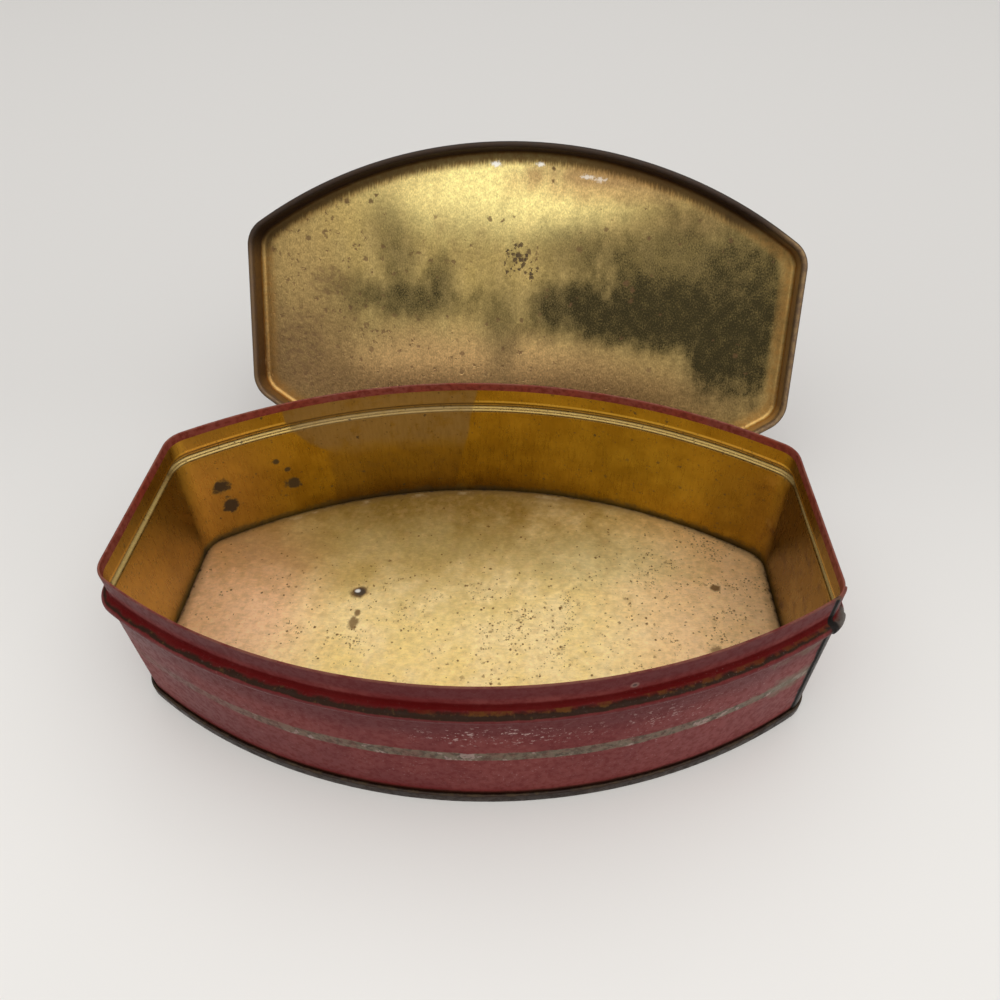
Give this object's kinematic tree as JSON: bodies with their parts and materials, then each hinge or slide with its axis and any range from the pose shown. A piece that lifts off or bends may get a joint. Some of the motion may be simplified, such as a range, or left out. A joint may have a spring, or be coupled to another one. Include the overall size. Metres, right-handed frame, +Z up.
{
  "type": "chocolate tin",
  "caption": "Bow-fronted tinplate box with a rolled stop bead, a double-seamed floor and a slip lid standing open behind it.",
  "frame": {"origin": "middle of the tin's resting face, on the surface it stands on", "axes": "+X along the length, +Y from the bowed front to the back where the lid stands, +Z up"},
  "size_m": [0.2377, 0.2134, 0.125],
  "materials": {
    "printed_tinplate": "satin",
    "gold_lacquered_tinplate": "satin"
  },
  "bodies": {
    "tin": {"body_wall": "printed_tinplate", "base_plate": "gold_lacquered_tinplate"},
    "lid": {"lid": "gold_lacquered_tinplate"}
  },
  "joints": [
    {"name": "lid_lift", "type": "slide", "parent": "tin", "child": "lid", "axis": [0, 0, 1], "range_m": [0, 0.15]}
  ]
}
